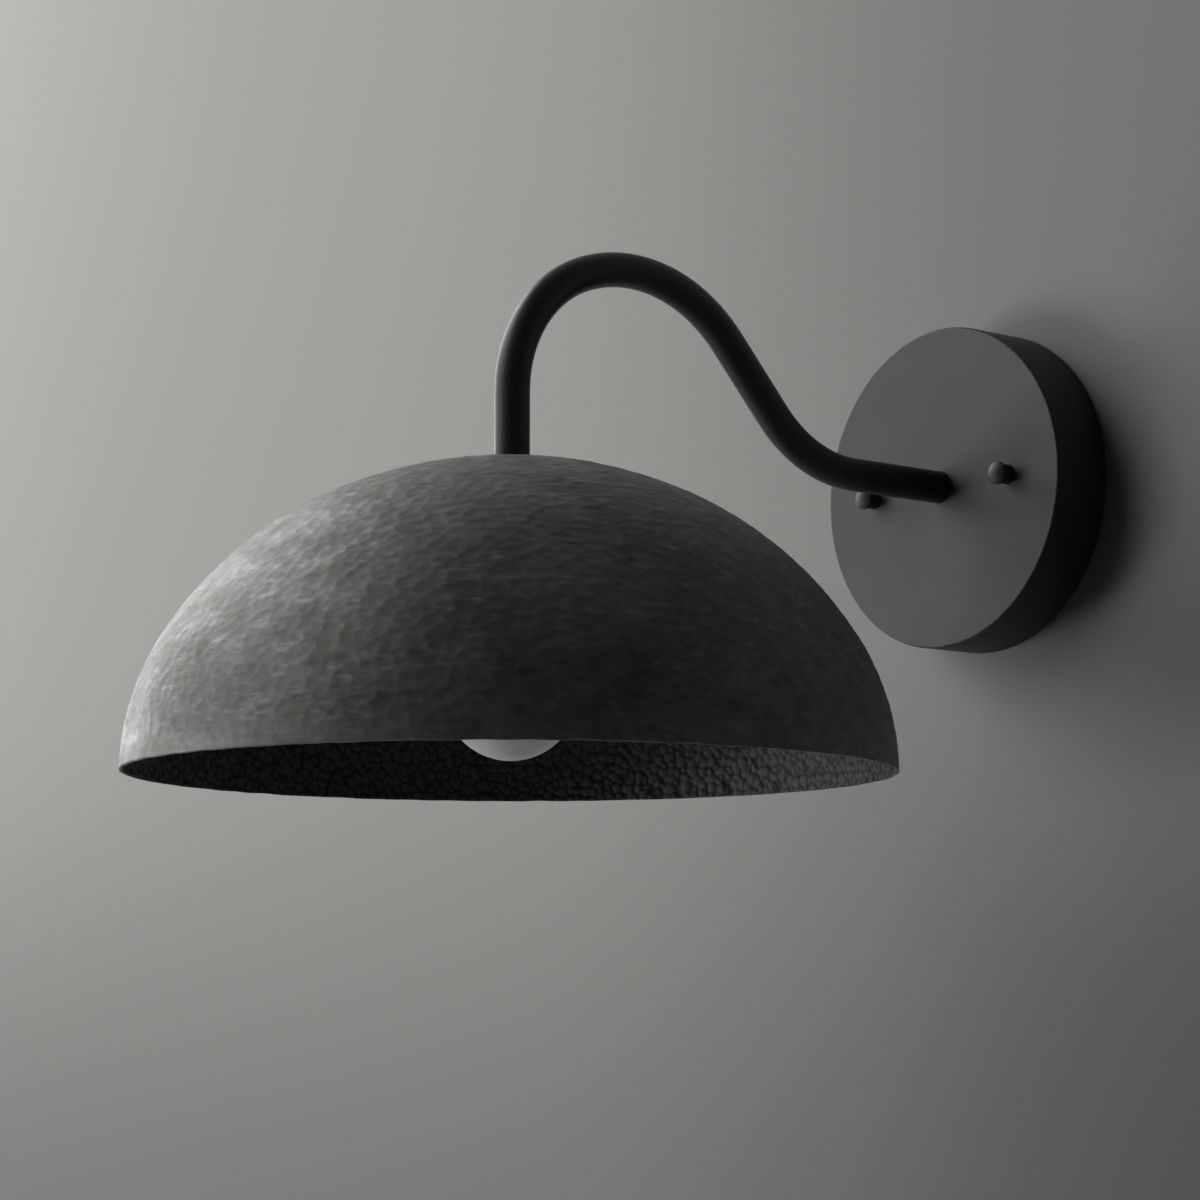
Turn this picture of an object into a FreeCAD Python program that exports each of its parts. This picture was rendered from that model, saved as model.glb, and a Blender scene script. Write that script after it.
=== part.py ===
import FreeCAD, Part
import math
import os

# Wall sconce: a domed metal shade and its lamp, hung from a bent tube arm on a round canopy.
# Millimetres. The origin is the centre of the canopy's back, on the wall. +Y runs into the
# wall, +Z is up, and the arm stands out along -Y. Threads are plain cylinders.

V = FreeCAD.Vector
X = V(1, 0, 0)
Y = V(0, 1, 0)
Z = V(0, 0, 1)
OUT = V(0, -1, 0)  # away from the wall
same_point = 1e-6
parallel = 0.999  # least dot product of two directions that are taken as one

# --- driving dimensions ---------------------------------------------------------------------

# canopy: a pressed steel cup against the wall
canopy_diameter = 120.0
canopy_depth = 25.0
canopy_sheet = 1.2
canopy_edge_radius = 0.8
canopy_screw_spacing = 70.0

# mounting bracket: a pressed cross, feet on the wall and its middle raised
bracket_sheet = 1.6
bracket_width = 20.0
bracket_height = 106.0
bracket_arm_width = 18.0
bracket_arm_span = 88.0
bracket_rise = 5.0
bracket_bridge = 52.0
bracket_joggle = 4.0
bracket_bend_radius = 1.0
wall_slot_spacing = 88.9
wall_slot_length = 10.0
wall_slot_width = 4.8
bracket_centre_hole = 10.5

# green bonding screw in the bracket's left arm, and the ring terminals of the ground lead
ground_screw_x = -18.0
ground_screw_radius = 2.4
ground_screw_length = 4.5  # of the shank behind the bracket's face
ground_flange_radius = 4.4
ground_flange = 0.6
ground_head_across = 7.0
ground_head_height = 2.2
lug_thickness = 0.8
lug_barrel_radius = 1.7
lug_barrel_length = 6.0
lug_crimp = 0.2  # of the barrel sunk into the tongue
arm_lug_radius = 8.0
arm_lug_tongue = 12.0
screw_lug_radius = 4.6
screw_lug_tongue = 7.0
ground_bow = (28.0, 32.0)  # how far below the centre the ground lead's bow turns

# canopy studs, lock nuts and the cap nuts that hold the canopy
stud_diameter = 4.17
stud_end = 30.6  # from the wall
stud_head_diameter = 7.6
stud_head_height = 2.4
stud_head_round = 1.0
stud_chamfer = 0.5
driver_slot_width = 1.0
driver_slot_depth = 1.2
stud_nut_across = 8.7
stud_nut_height = 3.1
cap_washer_thickness = 0.6
cap_nut_diameter = 7.2
cap_nut_body = 4.2
cap_nut_head_diameter = 8.4
cap_nut_head_rim = 1.0
cap_nut_crown = 1.7
cap_nut_depth = 0.5  # of the blind bore beyond the stud's end
thread_gap = 0.05
running_gap = 0.07
clearance = 0.2

# arm: a steel tube bent in three places, tapped at both ends
tube_diameter = 12.0
tube_bore = 9.0
reach = 223.0  # wall to the shade's axis
neck_top = 11.0
front_bend_radius = 48.0
front_bend = 69.0
top_bend_radius = 58.0
top_bend = 69.0
wall_bend_radius = 52.0

# the two hollow threaded pipes, their nuts and washers
pipe_diameter = 10.0
pipe_bore = 7.0
pipe_in_tube = 12.0
pipe_nut_across = 14.0
pipe_nut_height = 3.0
pipe_stub = 1.2
tooth_washer_diameter = 17.0
tooth_washer_thickness = 0.8
tooth_count = 10
notch_depth = 0.2  # of the washer's radius
notch_share = 0.26  # of the washer's outer diameter, so the teeth are as wide as the notches

# shade: a hammered dome, its outline three tangent arcs from the crown to an upright rim
shade_radius = 126.5
shade_wall = 2.0
rim_z = -116.5
crown_radius = 146.0
crown_turn = 24.0
shoulder_radius = 123.0
shoulder_turn = 35.0
shade_seat_radius = 8.0
shade_inner_seat_radius = 13.0
shade_washer_diameter = 24.0
shade_washer_thickness = 1.5

# lamp holder
holder_radius = 18.0
holder_wall = 2.0
hub_radius = 8.0
hub_thread = 5.0
hub_neck = 2.0
cap_skirt = 8.0
holder_depth = 23.5  # from the lamp's tip to the holder's lip
holder_lip_radius = 16.4
holder_barrel_gap = 0.2
holder_taper = 6.0  # below the cap's skirt, where the barrel starts to draw in
block_radius = 15.0
block_height = 3.5
block_floor = 0.8  # left under the blind hole of the left terminal screw
shell_inner_radius = 13.4
shell_sheet = 0.5
shell_top_hole = 8.2
shell_setback = 1.5  # from the holder's lip
plate_thickness = 0.8
plate_inner_x = 3.9
plate_outer_x = 13.9
plate_half_width = 3.2
terminal_x = 10.5
terminal_screw_radius = 1.6
terminal_head_radius = 2.8
terminal_head_edge = 1.2
terminal_head_height = 1.8
terminal_slot_width = 0.9
terminal_slot_depth = 0.8
rivet_radius = 1.0
rivet_x = -5.4
tongue_sheet = 0.5
tongue_width = 5.0
tongue_drop = 1.2
tongue_bends = (-7.6, -3.4, -1.0, 3.2, 5.4)  # along x, from its riveted end

# lamp: a 45 mm frosted globe on a 26 mm screw cap
lamp_length = 73.5
globe_radius = 22.5
glass_wall = 0.8
neck_radius = 12.55
neck_fillet = 8.0
lamp_cap_radius = 13.0
lamp_cap_sheet = 0.4
lamp_cap_height = 22.0
lamp_insulator_height = 3.0
lamp_insulator_collar = 1.0
lamp_cap_throat = 1.6  # how far the cap's top is drawn in
lamp_cap_shoulder = 1.2
lamp_tip_height = 1.0
lamp_tip_radius = 4.5
lamp_gap = 0.3
glass_in_cap = 5.0
stem_radius = 2.6
stem_flare = 7.0
stem_end = -84.0
wire_radius = 0.4
wire_x = 1.4
wire_straight = 3.0
wire_bend = 1.5
filament_half = 9.0
filament_z = -96.0

# leads inside the arm
lead_radius = 1.0
lead_offset = 1.4
lead_bend = 6.0
lead_turn_at_wall = 7.0
connector_length = 17.0
connector_mouth_radius = 5.2
connector_throat_radius = 3.4
connector_throat = 8.0
connector_tip_radius = 3.2
connector_wing = (5.0, 1.2, 3.0)  # length, thickness, how far both stand out together
connector_z = 26.0
connector_mouth_x = 11.5

# --- levels worked out from them ------------------------------------------------------------

shoulder_end = crown_turn + shoulder_turn


def sin(degrees):
    return math.sin(math.radians(degrees))


def cos(degrees):
    return math.cos(math.radians(degrees))


# the side arc takes up what is left of the radius, and its centre is level with the rim
side_radius = (
    shade_radius
    - crown_radius * sin(crown_turn)
    - shoulder_radius * (sin(shoulder_end) - sin(crown_turn))
) / (1 - sin(shoulder_end))
shade_height = (
    crown_radius * (1 - cos(crown_turn))
    + shoulder_radius * (cos(crown_turn) - cos(shoulder_end))
    + side_radius * cos(shoulder_end)
)
apex_z = rim_z + shade_height


def crown_z(radius, inset):
    """Height of the crown arc, moved in by inset, at a distance from the shade's axis."""
    arc = crown_radius - inset
    return apex_z - crown_radius + math.sqrt(arc**2 - radius**2)


seat_z = crown_z(shade_seat_radius, 0)
inner_seat_z = crown_z(shade_inner_seat_radius, shade_wall)
washer_z = inner_seat_z - shade_washer_thickness
tooth_z = washer_z - tooth_washer_thickness
holder_top = tooth_z - pipe_nut_height
pipe_foot = holder_top - hub_thread
lead_level = pipe_foot - clearance - lead_bend
plate_top = lead_level - lead_radius
block_top = plate_top - plate_thickness
block_foot = block_top - block_height
lamp_tip = block_foot - tongue_drop - lamp_gap
holder_lip = lamp_tip - holder_depth
skirt_foot = block_foot - cap_skirt / 2
lamp_bottom = lamp_tip - lamp_length
globe_z = lamp_bottom + globe_radius

bracket_front = bracket_rise + bracket_sheet
stud_places = [-canopy_screw_spacing / 2, canopy_screw_spacing / 2]
canopy_inside = canopy_depth - canopy_sheet
lug_face = canopy_inside - lug_thickness
wall_tooth_face = lug_face - tooth_washer_thickness
wall_nut_face = wall_tooth_face - pipe_nut_height
wall_pipe_end = wall_nut_face - pipe_stub
lead_depth = wall_pipe_end - 3 * clearance - lead_turn_at_wall
cap_nut_foot = canopy_depth + cap_washer_thickness
cap_nut_shoulder = cap_nut_foot + cap_nut_body
lamp_shoulder = lamp_tip - lamp_tip_height
lamp_insulator_foot = lamp_shoulder - lamp_insulator_height
lamp_cap_foot = lamp_insulator_foot - lamp_cap_height
glass_top = lamp_cap_foot + glass_in_cap


# --- shared ways of making a piece ------------------------------------------------------------


def turned(outline, base, axis):
    """Solid of revolution. The outline is (radius, height) points, height along the axis from
    base. An entry that holds two points is an arc: its middle and its end."""
    edges = []
    here = V(outline[0][0], 0, outline[0][1])
    for entry in outline[1:] + outline[:1]:
        if isinstance(entry[0], tuple):
            middle = V(entry[0][0], 0, entry[0][1])
            there = V(entry[1][0], 0, entry[1][1])
            edges.append(Part.Arc(here, middle, there).toShape())
        else:
            there = V(entry[0], 0, entry[1])
            if here.distanceToPoint(there) > same_point:
                edges.append(Part.LineSegment(here, there).toShape())
        here = there
    solid = Part.Face(Part.Wire(edges)).revolve(V(0, 0, 0), Z, 360)
    solid.Placement = FreeCAD.Placement(base, FreeCAD.Rotation(Z, axis))
    return solid


def arc_entry(centre_r, centre_z, radius, start, end):
    """Outline entry of an arc between two angles from straight up: its middle and its end."""
    middle = (start + end) / 2
    return tuple((centre_r + radius * sin(a), centre_z + radius * cos(a)) for a in (middle, end))


def domed(radius, foot, crown):
    """Outline entry of a round crown, from its edge at the foot's height to the axis."""
    rise = crown - foot
    sphere = (radius**2 + rise**2) / (2 * rise)
    middle = radius / 2
    return (middle, crown - sphere + math.sqrt(sphere**2 - middle**2)), (0, crown)


def ring(inner, outer, start, end, base, axis):
    """Washer or sleeve between two heights along the axis."""
    return turned([(inner, start), (outer, start), (outer, end), (inner, end)], base, axis)


def rod(radius, start, end, base, axis):
    """Plain cylinder between two heights along the axis."""
    low = min(start, end)
    foot = base + V(axis) * low
    return Part.makeCylinder(radius, abs(end - start), foot, axis)


def hex_nut(across, bore, start, end, base, axis):
    """Hexagon nut with its corners turned off at 30 degrees on both faces."""
    corner = across / math.sqrt(3)
    bevel = (corner - across / 2) * math.tan(math.radians(30))
    points = [V(corner * sin(60 * k + 30), corner * cos(60 * k + 30), start) for k in range(7)]
    prism = Part.Face(Part.makePolygon(points)).extrude(V(0, 0, end - start))
    prism.Placement = FreeCAD.Placement(base, FreeCAD.Rotation(Z, axis))
    low, high = min(start, end), max(start, end)
    rounding = turned(
        [
            (bore, low),
            (across / 2, low),
            (corner, low + bevel),
            (corner, high - bevel),
            (across / 2, high),
            (bore, high),
        ],
        base,
        axis,
    )
    return prism.common(rounding)


def toothed_washer(bore, outer, start, end, base, axis):
    """Lock washer with teeth around its outside."""
    washer = ring(bore, outer, start, end, base, axis)
    low, high = min(start, end), max(start, end)
    notches = []
    for k in range(tooth_count):
        notch = Part.makeBox(outer, outer * notch_share, high - low + 2)
        notch.translate(V(outer * (1 - notch_depth), -outer * notch_share / 2, low - 1))
        notch.rotate(V(0, 0, 0), Z, 360 * k / tooth_count)
        notch.Placement = FreeCAD.Placement(base, FreeCAD.Rotation(Z, axis)).multiply(notch.Placement)
        notches.append(notch)
    return washer.cut(notches)


def rounded_route(points, radii):
    """Wire of straight runs through the points, with an arc of its own radius at each corner."""
    edges = []
    here = points[0]
    for before, corner, after, radius in zip(points, points[1:], points[2:], radii):
        come = (corner - before).normalize()
        go = (after - corner).normalize()
        half_turn = come.getAngle(go) / 2
        trim = radius * math.tan(half_turn)
        inward = (go - come).normalize()
        arc_start = corner - come * trim
        arc_middle = corner + inward * (radius / math.cos(half_turn) - radius)
        arc_end = corner + go * trim
        if here.distanceToPoint(arc_start) > same_point:
            edges.append(Part.LineSegment(here, arc_start).toShape())
        edges.append(Part.Arc(arc_start, arc_middle, arc_end).toShape())
        here = arc_end
    edges.append(Part.LineSegment(here, points[-1]).toShape())
    return Part.Wire(edges)


def swept_disc(wire, radius, heading):
    """Round bar along a wire that sets out in the heading."""
    start = wire.OrderedVertexes[0].Point
    disc = Part.Face(Part.Wire([Part.makeCircle(radius, start, heading)]))
    return wire.makePipe(disc)


def bent_strip(points, sheet, side, width):
    """Sheet strip that follows a polyline in one plane, thickened to the side that side x run
    points to, and as wide as width, a vector, on both sides of that plane."""
    runs = [(b - a).normalize() for a, b in zip(points, points[1:])]
    normals = [side.cross(run) for run in runs]
    offset = [points[0] + normals[0] * sheet]
    for k in range(1, len(points) - 1):
        mitre = (normals[k - 1] + normals[k]).normalize()
        offset.append(points[k] + mitre * (sheet / mitre.dot(normals[k])))
    offset.append(points[-1] + normals[-1] * sheet)
    outline = points + offset[::-1] + points[:1]
    face = Part.Face(Part.makePolygon(outline))
    face.translate(width * -0.5)
    return face.extrude(width)


# --- against the wall -------------------------------------------------------------------------


def slot(centre, length, width, depth):
    """Cutter for an upright slot with round ends, from the centre out through a sheet."""
    half = (length - width) / 2
    middle = Part.makeBox(width, depth, half * 2, centre + V(-width / 2, -depth, -half))
    ends = [
        Part.makeCylinder(width / 2, depth, centre + V(0, 0, side * half), OUT) for side in (-1, 1)
    ]
    return middle.fuse(ends)


def mounting_bracket():
    """Pressed cross: upright strap with its feet on the wall, level arms for the studs."""
    foot = bracket_height / 2
    half_width = bracket_width / 2
    inner = bracket_bridge / 2
    outer = inner + bracket_joggle
    back_line = [
        V(0, 0, -foot),
        V(0, 0, -outer),
        V(0, -bracket_rise, -inner),
        V(0, -bracket_rise, inner),
        V(0, 0, outer),
        V(0, 0, foot),
    ]
    strap = bent_strip(back_line, bracket_sheet, X, V(bracket_width, 0, 0))
    bends = [
        edge
        for edge in strap.Edges
        if abs(edge.tangentAt(edge.FirstParameter).dot(X)) > parallel
        and inner - bracket_sheet < abs(edge.Vertexes[0].Point.z) < outer + bracket_sheet
    ]
    strap = strap.makeFillet(bracket_bend_radius, bends)
    round_z = foot - half_width
    blank = Part.makeBox(
        bracket_width, 2 * bracket_front, 2 * round_z, V(-half_width, -1.5 * bracket_front, -round_z)
    )
    round_ends = [
        Part.makeCylinder(half_width, 2 * bracket_front, V(0, bracket_front / 2, side * round_z), OUT)
        for side in (-1, 1)
    ]
    strap = strap.common(blank.fuse(round_ends))
    arm_straight = bracket_arm_span - bracket_arm_width
    arms = Part.makeBox(
        arm_straight,
        bracket_sheet,
        bracket_arm_width,
        V(-arm_straight / 2, -bracket_front, -bracket_arm_width / 2),
    )
    arm_ends = [
        rod(bracket_arm_width / 2, bracket_rise, bracket_front, V(side * arm_straight / 2, 0, 0), OUT)
        for side in (-1, 1)
    ]
    cross = strap.fuse([arms] + arm_ends).removeSplitter()
    holes = [
        slot(V(0, 1, side * wall_slot_spacing / 2), wall_slot_length, wall_slot_width, bracket_front)
        for side in (-1, 1)
    ]
    round_holes = [(bracket_centre_hole / 2, 0), (ground_screw_radius + thread_gap, ground_screw_x)]
    round_holes += [(stud_diameter / 2 + thread_gap, x) for x in stud_places]
    holes += [rod(radius, 0, 2 * bracket_front, V(x, 0, 0), OUT) for radius, x in round_holes]
    return cross.cut(holes)


def canopy_stud(x):
    """Machine screw from behind the bracket: pan head, and a shank out through the canopy."""
    radius = stud_diameter / 2
    head = stud_head_diameter / 2
    foot = bracket_rise - stud_head_height
    outline = [
        (0, foot),
        (head - stud_head_round, foot),
        arc_entry(head - stud_head_round, foot + stud_head_round, stud_head_round, 180, 90),
        (head, bracket_rise),
        (radius, bracket_rise),
        (radius, stud_end - stud_chamfer),
        (radius - stud_chamfer, stud_end),
        (0, stud_end),
    ]
    screw = turned(outline, V(x, 0, 0), OUT)
    corner = V(x - head, -foot - driver_slot_depth, -driver_slot_width / 2)
    return screw.cut(Part.makeBox(2 * head, driver_slot_depth, driver_slot_width, corner))


def stud_lock_nut(x):
    bore = stud_diameter / 2 + thread_gap
    front = bracket_front + stud_nut_height
    return hex_nut(stud_nut_across, bore, bracket_front, front, V(x, 0, 0), OUT)


def ground_screw():
    """Green bonding screw: hexagon washer head with a driver slot, tapped into the bracket."""
    seat = bracket_front + lug_thickness
    base = V(ground_screw_x, 0, 0)
    head_foot = seat + ground_flange
    head_top = head_foot + ground_head_height
    shank = rod(ground_screw_radius, bracket_front - ground_screw_length, seat, base, OUT)
    flange = rod(ground_flange_radius, seat, head_foot, base, OUT)
    head = hex_nut(ground_head_across, 0, head_foot, head_top, base, OUT)
    corner = V(ground_screw_x - driver_slot_width / 2, -head_top, -ground_head_across)
    driver_slot = Part.makeBox(driver_slot_width, driver_slot_depth, 2 * ground_head_across, corner)
    return shank.fuse([flange, head]).removeSplitter().cut(driver_slot)


def lug(bore, outer, tongue):
    """Crimped ring terminal: ring and tongue flat, barrel on the tongue, pointing down."""
    width = 2 * lug_barrel_radius
    end = -tongue - lug_barrel_length
    eye = ring(bore, outer, 0, lug_thickness, V(0, 0, 0), OUT)
    corner = V(-lug_barrel_radius, -lug_thickness, end)
    strap = Part.makeBox(width, lug_thickness, -(outer + bore) / 2 - end, corner)
    centre = V(0, lug_crimp - lug_thickness - lug_barrel_radius, 0)
    barrel = rod(lug_barrel_radius, end, -tongue, centre, Z)
    wire_hole = rod(lead_radius + thread_gap, end, -tongue, centre, Z)
    return eye.fuse([strap, barrel]).removeSplitter().cut(wire_hole)


def ground_lugs():
    """Two ring terminals: one under the arm's lock washer, one under the ground screw."""
    # the arm's terminal lies on the canopy, so its barrel faces the wall
    at_arm = lug(pipe_diameter / 2 + thread_gap, arm_lug_radius, arm_lug_tongue)
    at_arm = at_arm.mirror(V(0, 0, 0), Y)
    at_arm.translate(V(0, -canopy_inside, 0))
    at_bracket = lug(ground_screw_radius + thread_gap, screw_lug_radius, screw_lug_tongue)
    at_bracket.translate(V(ground_screw_x, -bracket_front, 0))
    return at_arm, at_bracket


def canopy():
    """Cup with a crisp outer edge, a hole for the arm's pipe and two for the studs."""
    radius = canopy_diameter / 2
    inner = radius - canopy_sheet
    edge = canopy_edge_radius
    outline = [
        (0, canopy_inside),
        (inner, canopy_inside),
        (inner, 0),
        (radius, 0),
        (radius, canopy_depth - edge),
        arc_entry(radius - edge, canopy_depth - edge, edge, 90, 0),
        (0, canopy_depth),
    ]
    cup = turned(outline, V(0, 0, 0), OUT)
    round_holes = [(pipe_diameter / 2, 0)] + [(stud_diameter / 2, x) for x in stud_places]
    return cup.cut(
        [
            rod(hole + clearance, canopy_inside, canopy_depth, V(x, 0, 0), OUT)
            for hole, x in round_holes
        ]
    )


def cap_washer(x):
    bore = stud_diameter / 2 + running_gap
    return ring(bore, cap_nut_diameter / 2, canopy_depth, cap_nut_foot, V(x, 0, 0), OUT)


def cap_nut(x):
    """Blind nut: a plain barrel under a wider head with a low crown."""
    body = cap_nut_diameter / 2
    head = cap_nut_head_diameter / 2
    rim = cap_nut_shoulder + cap_nut_head_rim
    bore = stud_diameter / 2 + running_gap
    bore_end = stud_end + cap_nut_depth
    outline = [
        (bore, cap_nut_foot),
        (body, cap_nut_foot),
        (body, cap_nut_shoulder),
        (head, cap_nut_shoulder),
        (head, rim),
        domed(head, rim, rim + cap_nut_crown),
        (0, bore_end),
        (bore, bore_end),
    ]
    return turned(outline, V(x, 0, 0), OUT)


# --- the arm ------------------------------------------------------------------------------------

# the corners of the arm's centre line, in the X = 0 plane, from the shade to the canopy
front_trim = front_bend_radius * math.tan(math.radians(front_bend / 2))
top_trim = top_bend_radius * math.tan(math.radians(top_bend / 2))
slope = front_bend + top_bend
front_corner_z = neck_top + front_trim
top_corner_y = -reach + (front_trim + top_trim) * sin(front_bend)
top_corner_z = front_corner_z + (front_trim + top_trim) * cos(front_bend)
wall_corner_y = top_corner_y - top_corner_z * sin(slope) / cos(slope)
bend_radii = [front_bend_radius, top_bend_radius, wall_bend_radius]
shade_axis = V(0, -reach, 0)


def arm_corners(x):
    return [
        V(x, -reach, front_corner_z),
        V(x, top_corner_y, top_corner_z),
        V(x, wall_corner_y, 0),
    ]


def arm_tube():
    """Round tube from the shade's crown to the canopy's face, bored through and tapped."""
    ends = [V(0, -reach, seat_z), V(0, -canopy_depth, 0)]
    route = rounded_route(ends[:1] + arm_corners(0) + ends[1:], bend_radii)
    tube = swept_disc(route, tube_diameter / 2, Z).cut(swept_disc(route, tube_bore / 2, Z))
    tapped = pipe_diameter / 2 + thread_gap
    return tube.cut(
        [
            rod(tapped, seat_z, seat_z + pipe_in_tube, shade_axis, Z),
            rod(tapped, canopy_depth, canopy_depth + pipe_in_tube, V(0, 0, 0), OUT),
        ]
    )


def canopy_pipe():
    return ring(
        pipe_bore / 2, pipe_diameter / 2, wall_pipe_end, canopy_depth + pipe_in_tube, V(0, 0, 0), OUT
    )


def canopy_tooth_washer():
    bore = pipe_diameter / 2 + thread_gap
    outer = tooth_washer_diameter / 2
    return toothed_washer(bore, outer, wall_tooth_face, lug_face, V(0, 0, 0), OUT)


def canopy_lock_nut():
    bore = pipe_diameter / 2 + thread_gap
    return hex_nut(pipe_nut_across, bore, wall_nut_face, wall_tooth_face, V(0, 0, 0), OUT)


# --- the shade and what holds it ----------------------------------------------------------------

def dome_arcs(inset):
    """The dome's centre line moved in by inset: (centre radius, centre height, arc radius,
    start angle, end angle) of each arc, angles from straight up."""
    shoulder_r = (crown_radius - shoulder_radius) * sin(crown_turn)
    shoulder_z = apex_z - crown_radius + (crown_radius - shoulder_radius) * cos(crown_turn)
    seat = shade_inner_seat_radius if inset else shade_seat_radius
    start = math.degrees(math.asin(seat / (crown_radius - inset)))
    return [
        (0, apex_z - crown_radius, crown_radius - inset, start, crown_turn),
        (shoulder_r, shoulder_z, shoulder_radius - inset, crown_turn, shoulder_end),
        (shade_radius - side_radius, rim_z, side_radius - inset, shoulder_end, 90),
    ]


def shade():
    """Dome of even wall, with a flat seat inside and out around the hole in its crown."""
    hole = pipe_diameter / 2 + clearance
    outside = [arc_entry(*arc) for arc in dome_arcs(0)]
    inside = [arc_entry(r, z, size, end, start) for r, z, size, start, end in dome_arcs(shade_wall)]
    outline = [(hole, seat_z), (shade_seat_radius, seat_z)] + outside
    outline += [(shade_radius - shade_wall, rim_z)] + inside[::-1] + [(hole, inner_seat_z)]
    return turned(outline, shade_axis, Z)


def shade_pipe():
    return ring(
        pipe_bore / 2, pipe_diameter / 2, pipe_foot, seat_z + pipe_in_tube, shade_axis, Z
    )


def shade_washer():
    bore = pipe_diameter / 2 + thread_gap
    return ring(bore, shade_washer_diameter / 2, washer_z, inner_seat_z, shade_axis, Z)


def shade_tooth_washer():
    bore = pipe_diameter / 2 + thread_gap
    return toothed_washer(bore, tooth_washer_diameter / 2, tooth_z, washer_z, shade_axis, Z)


def shade_lock_nut():
    bore = pipe_diameter / 2 + thread_gap
    return hex_nut(pipe_nut_across, bore, holder_top, tooth_z, shade_axis, Z)


# --- the lamp holder ----------------------------------------------------------------------------

shoulder_arc = holder_radius - hub_radius
cap_shoulder_z = holder_top - hub_neck - shoulder_arc


def holder_cap():
    """Upper half of the lamp holder: tapped hub, round shoulder, skirt over the body."""
    inner_arc = shoulder_arc - holder_wall
    bore = pipe_diameter / 2 + thread_gap
    skirt = holder_radius - holder_wall
    outline = [
        (bore, holder_top),
        (hub_radius, holder_top),
        (hub_radius, holder_top - hub_neck),
        arc_entry(hub_radius, cap_shoulder_z, shoulder_arc, 0, 90),
        (holder_radius, skirt_foot),
        (skirt, skirt_foot),
        (skirt, cap_shoulder_z),
        arc_entry(hub_radius, cap_shoulder_z, inner_arc, 90, 0),
        (hub_radius, pipe_foot),
        (bore, pipe_foot),
    ]
    return turned(outline, shade_axis, Z)


def holder_body():
    """Lower half: a collar inside the cap's skirt, a ledge for the block, a tapered barrel."""
    collar = holder_radius - holder_wall - thread_gap
    seat = block_radius + thread_gap
    barrel = shell_inner_radius + shell_sheet + holder_barrel_gap
    outline = [
        (barrel, holder_lip),
        (holder_lip_radius, holder_lip),
        (holder_radius, skirt_foot - holder_taper),
        (holder_radius, skirt_foot),
        (collar, skirt_foot),
        (collar, block_top),
        (seat, block_top),
        (seat, block_foot),
        (barrel, block_foot),
    ]
    return turned(outline, shade_axis, Z)


def contact_block():
    """Porcelain disc that carries the contacts, drilled for the screws and the rivet."""
    disc = rod(block_radius, block_foot, block_top, shade_axis, Z)
    drill = terminal_screw_radius + thread_gap
    holes = [
        rod(drill, block_foot + block_floor, block_top, shade_axis + V(-terminal_x, 0, 0), Z),
        rod(drill, block_foot, block_top, shade_axis + V(terminal_x, 0, 0), Z),
        rod(rivet_radius, block_foot, block_top, shade_axis + V(rivet_x, 0, 0), Z),
    ]
    return disc.cut(holes)


def terminal_plates():
    """Brass plates on the block, one for each lead. The left one also holds the rivet."""
    length = plate_outer_x - plate_inner_x
    drill = terminal_screw_radius + thread_gap
    plates = []
    for side in (-1, 1):
        middle = side * (plate_inner_x + plate_outer_x) / 2
        corner = V(middle - length / 2, -reach - plate_half_width, block_top)
        plate = Part.makeBox(length, 2 * plate_half_width, plate_thickness, corner)
        base = shade_axis + V(side * terminal_x, 0, 0)
        plates.append(plate.cut(rod(drill, block_top, plate_top, base, Z)))
    rivet_hole = rod(rivet_radius, block_top, plate_top, shade_axis + V(rivet_x, 0, 0), Z)
    return plates[0].cut(rivet_hole), plates[1]


def terminal_screws():
    """Pan screws that clamp the leads. The right one reaches the screw shell's top."""
    head_foot = plate_top + 2 * lead_radius
    head_top = head_foot + terminal_head_height
    screws = []
    for side, foot in ((-1, block_foot + block_floor + clearance), (1, block_foot - shell_sheet)):
        outline = [
            (0, foot),
            (terminal_screw_radius, foot),
            (terminal_screw_radius, head_foot),
            (terminal_head_radius, head_foot),
            (terminal_head_radius, head_foot + terminal_head_edge),
            domed(terminal_head_radius, head_foot + terminal_head_edge, head_top),
        ]
        base = shade_axis + V(side * terminal_x, 0, 0)
        corner = V(-terminal_slot_width / 2, -terminal_head_radius, head_top - terminal_slot_depth)
        driver_slot = Part.makeBox(
            terminal_slot_width, 2 * terminal_head_radius, terminal_slot_depth, base + corner
        )
        screws.append(turned(outline, base, Z).cut(driver_slot))
    return screws


def contact_rivet():
    """Flush rivet that joins the left plate to the centre tongue."""
    return rod(rivet_radius, block_foot, plate_top, shade_axis + V(rivet_x, 0, 0), Z)


def centre_tongue():
    """Springy brass strip under the block, bent down to meet the lamp's tip."""
    high = block_foot - tongue_sheet
    low = block_foot - tongue_drop
    heights = (high, high, low, low, high)
    line = [V(x, -reach, z) for x, z in zip(tongue_bends, heights)]
    return bent_strip(line, tongue_sheet, OUT, V(0, tongue_width, 0))


def screw_shell():
    """Thin metal shell that the lamp screws into, its top plate under the block."""
    inner = shell_inner_radius
    outer = inner + shell_sheet
    foot = holder_lip + shell_setback
    top_plate = block_foot - shell_sheet
    outline = [
        (shell_top_hole, block_foot),
        (outer, block_foot),
        (outer, foot),
        (inner, foot),
        (inner, top_plate),
        (shell_top_hole, top_plate),
    ]
    shell = turned(outline, shade_axis, Z)
    drill = terminal_screw_radius + thread_gap
    return shell.cut(rod(drill, top_plate, block_foot, shade_axis + V(terminal_x, 0, 0), Z))


# --- the lamp -----------------------------------------------------------------------------------

def lamp_contact():
    """Solder button at the lamp's tip."""
    crown = domed(lamp_tip_radius, lamp_shoulder, lamp_tip)
    outline = [(0, lamp_shoulder), (lamp_tip_radius, lamp_shoulder), crown]
    return turned(outline, shade_axis, Z)


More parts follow.
